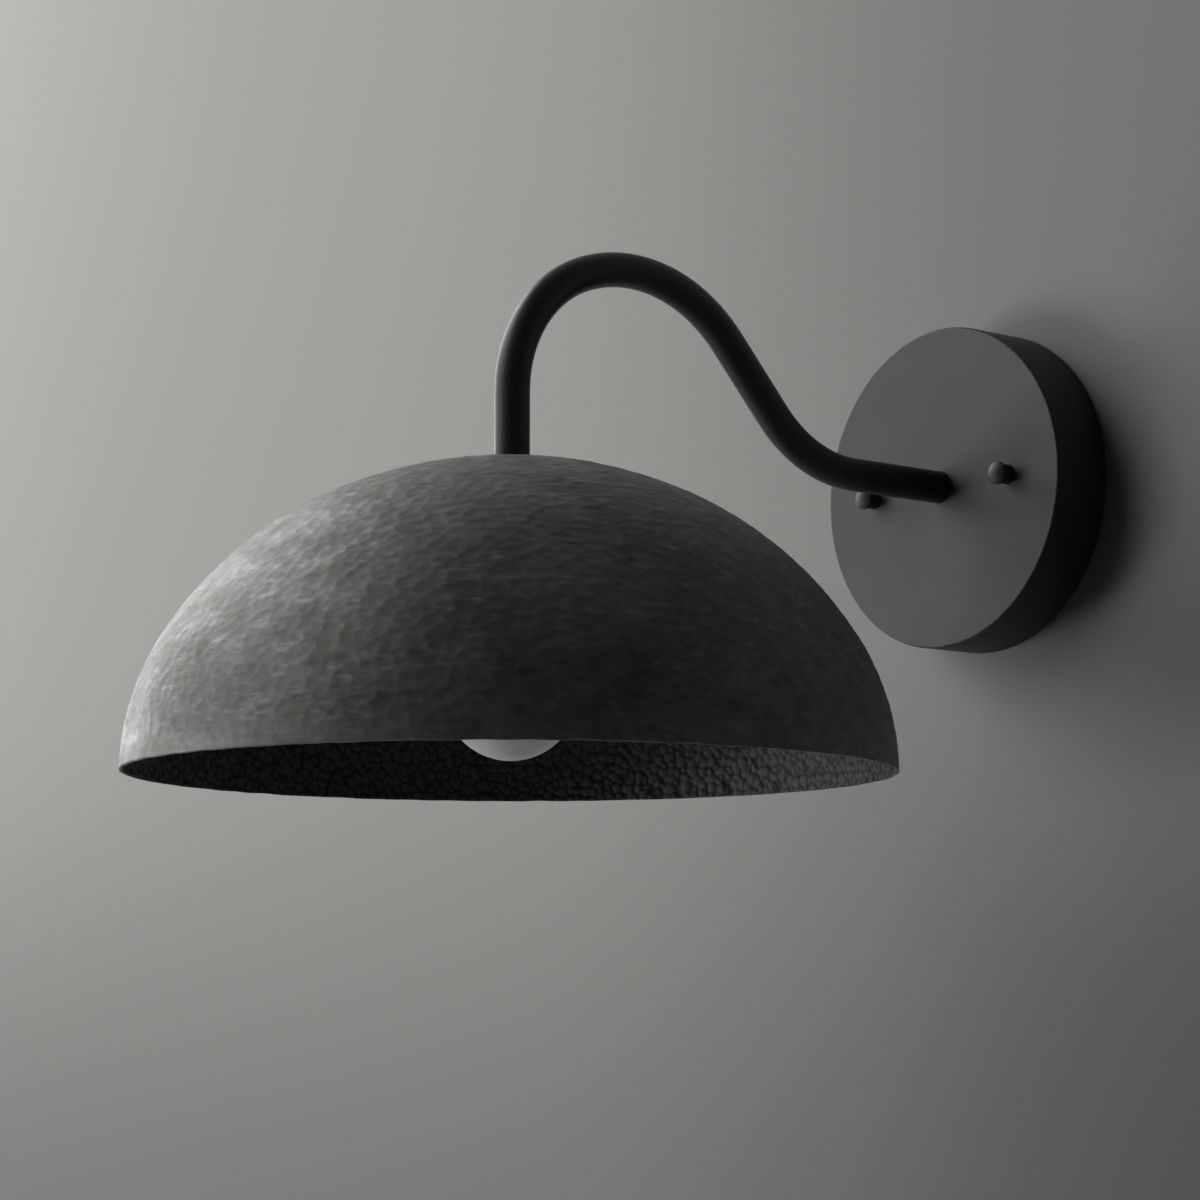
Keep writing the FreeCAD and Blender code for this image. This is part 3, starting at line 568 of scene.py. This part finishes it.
def angles_at(radius):
    """Even angles all round, with half as many each time the ring is half as wide."""
    halvings = 2 if radius < shade_radius / 4 else 1 if radius < shade_radius / 2 else 0
    return np.linspace(0, 2 * math.pi, around_rim // 2**halvings, endpoint=False)


def ring_of_points(angles, radius, height):
    """Points of one ring about the dome's axis."""
    still = np.zeros_like(angles)
    return np.column_stack(
        [radius * np.cos(angles), shade_axis_y + radius * np.sin(angles), height + still]
    )


def hammered(radius, way, angles):
    """Depth at one ring of the overlapping strikes, 0 at the highest of the ridges between."""
    along, around, size, lean_a, lean_b = strikes.around(way, radius, angles)
    reach = strike_spacing / 2
    far = (along * strike_narrow) ** 2 + (around * strike_wide) ** 2
    bowls = strike_depth * far / reach**2 + size
    bowls += strike_lean * (lean_a * along + lean_b * around)
    patch = soft_noise(ridge_seed, angles, way, ridge_patch)
    soft = crisp + (blunt - crisp) * np.clip(0.5 + 0.6 * patch, 0, 1)
    lowest = bowls.min(axis=0)
    lowest -= soft * np.log(np.exp((lowest - bowls) / soft).sum(axis=0))
    return np.clip(2 * strike_depth - lowest, 0, None)


def pebbled(radius, way, angles):
    """Height at one ring of the pebbles, from 0 in the gaps to 1 on their faces."""
    along, around, size, lean_a, lean_b = pebbles.around(way, radius, angles)
    apart = np.hypot(along, around) * (1 + pebble_oval * np.tanh(lean_a)) - size
    nearest = apart.min(axis=0)
    crowd = np.exp((nearest - apart) / pebble_corner).sum(axis=0) - 1
    gap = -pebble_corner * np.log(np.maximum(crowd, 1e-12)) / 2
    rounding = np.clip(gap / pebble_round, 0, 1)
    pick = apart.argmin(axis=0)
    level = np.take_along_axis(lean_b, pick[None], axis=0)[0]
    return np.sqrt(1 - (1 - rounding) ** 2) * (0.9 + pebble_levels * np.tanh(level))


def rim_lift(angles, from_rim):
    """How far the filed rim stands above its plane, less and less up the wall."""
    ragged = np.clip(0.5 + 0.5 * soft_noise(rim_seed, angles, 0.0, rim_wave_length), 0, 1.5)
    return rim_wave * ragged * max(0.0, 1 - from_rim / plain_rim) ** 2


rings, heights = [], []
for radius, height, lean, way in outside_line:
    angles = angles_at(radius)
    from_rim = outside_line[-1, 3] - way
    near_seat = min(1.0, way / fade_in)
    near_rim = calm_share + (1 - calm_share) * min(1.0, from_rim / calm_rim)
    sink = near_seat * near_rim * hammered(radius, way, angles)
    dents = np.clip(1 + soft_noise(dent_seed, angles, way, dent_patch), 0, 2.5)
    dent = near_seat * dent_depth * dents
    lift = rim_lift(angles, from_rim)
    depth = sink + dent
    rings.append(
        ring_of_points(
            angles, radius - depth * math.sin(lean), height - depth * math.cos(lean) + lift
        )
    )
    heights.append(sink / (3 * strike_depth))
outside_rings = len(rings)

for radius, height, lean, way in inside_line[::-1]:
    angles = angles_at(radius)
    from_rim = inside_line[-1, 3] - way
    near_seat = min(1.0, max(0.0, way - smooth_seat) / fade_in)
    top = pebbled(radius, way, angles)
    thin = rim_thinning * max(0.0, 1 - from_rim / plain_rim) ** 2
    edge = min(1.0, calm_share + from_rim / calm_edge)
    lift = rim_lift(angles, from_rim)
    depth = near_seat * edge * pebble_depth * (1 - top) + thin
    rings.append(
        ring_of_points(
            angles, radius + depth * math.sin(lean), height + depth * math.cos(lean) + lift
        )
    )
    heights.append(1 - near_seat + near_seat * top)

# the flat seats and the bolt hole close the shell
seat_z, inner_seat_z = outside_line[0, 1], inside_line[0, 1]
for height in (inner_seat_z, seat_z):
    angles = angles_at(bolt_hole)
    rings.append(ring_of_points(angles, bolt_hole, height))
    heights.append(np.ones_like(angles))


map_margin, map_span = 0.01, 0.98


def skin(name, rings):
    """A closed shell through rings of points, the last joined to the first, with a flat map laid
    out by turn and way. A ring may have twice or half the points of the next."""
    starts = np.cumsum([0] + [len(r) for r in rings])
    first_points = np.array([r[0] for r in rings] + [rings[0][0]])
    way = np.r_[0, np.cumsum(np.linalg.norm(np.diff(first_points, axis=0), axis=1))]
    way = map_margin + map_span * way / way[-1]

    def corners(k, shift):
        """Every point of a ring, moved on by a few, each as its number and its spot on the map."""
        count = len(rings[k % len(rings)])
        turn = np.arange(count) + shift
        number = starts[k % len(rings)] + turn % count
        across = map_margin + map_span * turn / count
        return np.stack([number, across, np.full(count, way[k])], axis=1)

    faces, ring_faces = [], []
    for k in range(len(rings)):
        a, a1 = corners(k, 0), corners(k, 1)
        b, b1 = corners(k + 1, 0), corners(k + 1, 1)
        if len(a) == len(b):
            added = [[a, b, b1, a1]]
        elif len(a) > len(b):
            near, middle, far = a[::2], a[1::2], a1[1::2]
            added = [[near, b, middle], [middle, b, b1], [middle, b1, far]]
        else:
            near, middle, far = b[::2], b[1::2], b1[1::2]
            added = [[a, near, middle], [a, middle, a1], [a1, middle, far]]
        faces += [np.stack(face, axis=1) for face in added]
        ring_faces.append(sum(len(face[0]) for face in added))
    sizes = np.concatenate([np.full(len(face), face.shape[1]) for face in faces])
    rows = np.concatenate([face.reshape(-1, 3) for face in faces])
    mesh = bpy.data.meshes.new(name)
    mesh.vertices.add(starts[-1])
    mesh.vertices.foreach_set("co", np.concatenate(rings).astype(np.float32).ravel())
    mesh.loops.add(len(rows))
    mesh.loops.foreach_set("vertex_index", rows[:, 0].astype(np.int32))
    mesh.polygons.add(len(sizes))
    mesh.polygons.foreach_set("loop_start", (np.cumsum(sizes) - sizes).astype(np.int32))
    mesh.polygons.foreach_set("use_smooth", np.ones(len(sizes), bool))
    mesh.update(calc_edges=True)
    spots = mesh.uv_layers.new(name="OFBake")
    spots.data.foreach_set("uv", rows[:, 1:].astype(np.float32).ravel())
    return mesh, ring_faces


shade_mesh, ring_faces = skin("shade_dome", rings)
relief = shade_mesh.attributes.new("relief", "FLOAT", "POINT")
relief.data.foreach_set("value", np.concatenate(heights).astype(np.float32))
shade = bpy.data.objects.new("shade_dome", shade_mesh)
bpy.context.scene.collection.objects.link(shade)

patina_dark = (0.145, 0.144, 0.146)
patina_grey = (0.25, 0.25, 0.245)
patina_olive = (0.24, 0.243, 0.208)
patina_blue = (0.175, 0.171, 0.188)
patina_pale = (0.33, 0.327, 0.312)
patina_soot = (0.10, 0.099, 0.102)
filed_from, filed_to = 0.003, 0.013  # above the rim, where the marks of the file fade out
patina_grain_depth = 0.00005

patina = Finish("charcoal_patina")
worn = patina.node("ShaderNodeAttribute", {"attribute_name": "relief"}, out="Fac")
upwards = patina.node("ShaderNodeSeparateXYZ", {}, {"Vector": patina.place()}, out="Z")
by_rim = patina.steps(upwards, rim_z + filed_from, rim_z + filed_to, 1, 0)
big = patina.noise(0.045, detail=5, rough=0.65)
patches = patina.noise(0.016, detail=4, rough=0.55, stretch=(1, 1, 2), offset=4)
streaks = patina.noise(0.011, detail=4, rough=0.6, stretch=(1, 1, 8), offset=9)
dashes = patina.noise(0.0075, detail=3, rough=0.55, stretch=(1, 1, 4), offset=13)
pits = patina.noise(0.008, detail=2, rough=0.5, stretch=(1, 1, 1.6), offset=21)
rubbed = patina.noise(0.009, detail=3, rough=0.6, offset=27)
drawn = patina.noise(0.003, detail=4, rough=0.6, stretch=(1, 1, 0.15), offset=33)
grain = patina.noise(0.0007, detail=3)
colour = patina.blend(patina.steps(big, 0.38, 0.62), patina_dark, patina_grey)
colour = patina.blend(0.8 * patina.steps(patches, 0.42, 0.66), colour, patina_olive)
colour = patina.blend(0.75 * patina.steps(streaks, 0.45, 0.66), colour, patina_blue)
colour = patina.blend(0.75 * patina.steps(dashes, 0.52, 0.72), colour, patina_pale)
colour = patina.blend(0.6 * patina.steps(pits, 0.5, 0.75), colour, patina_soot)
colour = patina.blend(0.35 * patina.steps(worn, 0.4, 1.0), colour, patina_dark)
ridges = patina.steps(worn, 0.05, 0.22, 1, 0) * patina.steps(rubbed, 0.45, 0.6)
colour = patina.blend(0.4 * ridges, colour, patina_pale)
colour = patina.blend(0.3 * by_rim * patina.steps(drawn, 0.4, 0.65), colour, patina_pale)
patina.set(
    base_color=colour,
    roughness=patina.steps(patches + 0.35 * grain, 0.3, 1.0, 0.44, 0.7),
    metallic=0.45,
    normal=patina.bump(grain + 1.2 * streaks + 0.8 * by_rim * drawn, patina_grain_depth),
)
shade_mesh.materials.append(patina.material)

pebble_face = (0.14, 0.14, 0.138)
pebble_gap_shade = (0.004, 0.004, 0.004)
pebble_grain, pebble_grain_depth = 0.0006, 0.00006
pebble_skin = Finish("pebbled_inside")
raised = pebble_skin.node("ShaderNodeAttribute", {"attribute_name": "relief"}, out="Fac")
tint = pebble_skin.noise(0.004, detail=3)
sand = pebble_skin.noise(pebble_grain, detail=3)
face = pebble_skin.blend(tint, pebble_face, tuple(0.7 * c for c in pebble_face))
pebble_skin.set(
    # the gaps between the pebbles are painted near black: painted shade in the crevices
    base_color=pebble_skin.blend(pebble_skin.steps(raised, 0.35, 0.85), pebble_gap_shade, face),
    roughness=pebble_skin.steps(sand, 0.2, 0.8, 0.55, 0.75),
    normal=pebble_skin.bump(sand, pebble_grain_depth),
)
shade_mesh.materials.append(pebble_skin.material)
inside_faces = np.zeros(len(shade_mesh.polygons), np.int32)
inside_faces[sum(ring_faces[:outside_rings]) : -ring_faces[-1]] = 1
shade_mesh.polygons.foreach_set("material_index", inside_faces)
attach(shade, "fixture")
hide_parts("shade")

# --- Lamp holder: cap and body --------------------------------------------------------------------
# Two mouldings of black phenolic resin screwed together. The cap turns onto the shade's pipe, and
# the body closes round the porcelain block. The resin is glossy, with faint flow clouds.

phenolic = Finish("black_phenolic")
phenolic.cloudy((0.020, 0.019, 0.018), (0.032, 0.030, 0.028), 0.010, (0.26, 0.40))
dress(["holder_cap", "holder_body"], phenolic)

# --- Lamp holder: contact block -------------------------------------------------------------------
# A round of glazed white porcelain, held between the cap and the body, carries the contacts. The
# glaze is glossy and a little uneven.

porcelain = Finish("porcelain")
porcelain.cloudy((0.84, 0.83, 0.79), (0.78, 0.76, 0.71), 0.006, (0.10, 0.20))
dress(["contact_block"], porcelain)

# --- Lamp holder: terminals and centre contact ----------------------------------------------------
# Brass plates under brass screws take the two leads. A rivet joins one plate to the springy brass
# tongue that meets the lamp's tip. The brass has dulled to brown in places.

brass = Finish("brass")
brass.cloudy((0.72, 0.53, 0.25), (0.55, 0.38, 0.17), 0.003, (0.24, 0.42), metallic=1.0)
dress(["terminal_plates", "terminal_screws", "contact_rivet", "centre_tongue"], brass)

# --- Lamp holder: screw shell ---------------------------------------------------------------------
# A nickel-plated brass sleeve with the rolled round thread of the 26 mm lamp cap, seven turns to
# the inch.

cap_pitch = 0.003629
cap_thread_depth = 0.0009
nickel_light, nickel_dark = (0.68, 0.66, 0.61), (0.56, 0.54, 0.49)
shell_nickel = Finish("nickel_plated_shell")
turns = shell_nickel.bump(shell_nickel.bands("Z", cap_pitch), cap_thread_depth)
shell_nickel.cloudy(nickel_light, nickel_dark, 0.004, (0.22, 0.36), turns, metallic=1.0)
dress(["screw_shell"], shell_nickel)

# --- Lamp: tip, insulator and cap -----------------------------------------------------------------
# A blob of solder, the lamp's centre contact, sits on a disc of black glass. The disc closes the
# end of a nickel-plated cap with a rolled thread.

solder = Finish("solder")
solder.cloudy((0.60, 0.60, 0.59), (0.44, 0.44, 0.44), 0.002, (0.30, 0.50), metallic=1.0)
dress(["lamp_contact"], solder)
black_glass = Finish("black_glass")
black_glass.cloudy((0.012, 0.012, 0.013), (0.020, 0.020, 0.020), 0.004, (0.08, 0.15))
dress(["lamp_insulator"], black_glass)
cap_nickel = Finish("nickel_plated_cap")
turns = cap_nickel.bump(cap_nickel.bands("Z", cap_pitch), cap_thread_depth)
cap_nickel.cloudy(nickel_light, nickel_dark, 0.005, (0.24, 0.38), turns, metallic=1.0)
dress(["lamp_cap"], cap_nickel)

# --- Lamp: glass, stem and filament ---------------------------------------------------------------
# A small globe of glass, etched inside to an even grey-white, round a clear glass stem and a
# filament of tungsten wire. The globe passes on a little of the room's light that falls in from
# all round, and a faint glow stands in for it: the lamp is off.

faint_glow = 0.07
opal = Finish("etched_glass")
opal.cloudy((0.90, 0.90, 0.885), (0.87, 0.87, 0.855), 0.008, (0.32, 0.42))
opal.set(emission_color=(1.0, 1.0, 0.98), emission_strength=faint_glow)
dress(["lamp_glass"], opal)
stem_glass = Finish("clear_glass")
stem_glass.cloudy((0.85, 0.88, 0.88), (0.80, 0.84, 0.84), 0.010, (0.05, 0.10))
dress(["lamp_stem"], stem_glass)
tungsten = Finish("tungsten")
tungsten.cloudy((0.30, 0.30, 0.30), (0.20, 0.20, 0.20), 0.001, (0.40, 0.60), metallic=1.0)
dress(["lamp_filament"], tungsten)

# --- Line and neutral leads -----------------------------------------------------------------------
# Stranded copper in soft plastic, black for the line and white for the neutral. Both run through
# the arm from the wire connectors in the canopy to the terminals of the lamp holder.

line_lead = Finish("black_lead")
line_lead.cloudy((0.030, 0.030, 0.030), (0.022, 0.022, 0.022), 0.005, (0.38, 0.50))
dress(["line_lead"], line_lead)
neutral_lead = Finish("white_lead")
neutral_lead.cloudy((0.80, 0.80, 0.77), (0.70, 0.69, 0.65), 0.005, (0.38, 0.50))
dress(["neutral_lead"], neutral_lead)

# --- Wire connectors ------------------------------------------------------------------------------
# Two cones of orange nylon with wings, twisted over the ends of the leads inside the canopy. Their
# surface is slightly waxy.

orange = Finish("orange_nylon")
orange.cloudy((0.82, 0.30, 0.05), (0.74, 0.25, 0.04), 0.006, (0.35, 0.50))
dress(["wire_connectors"], orange)
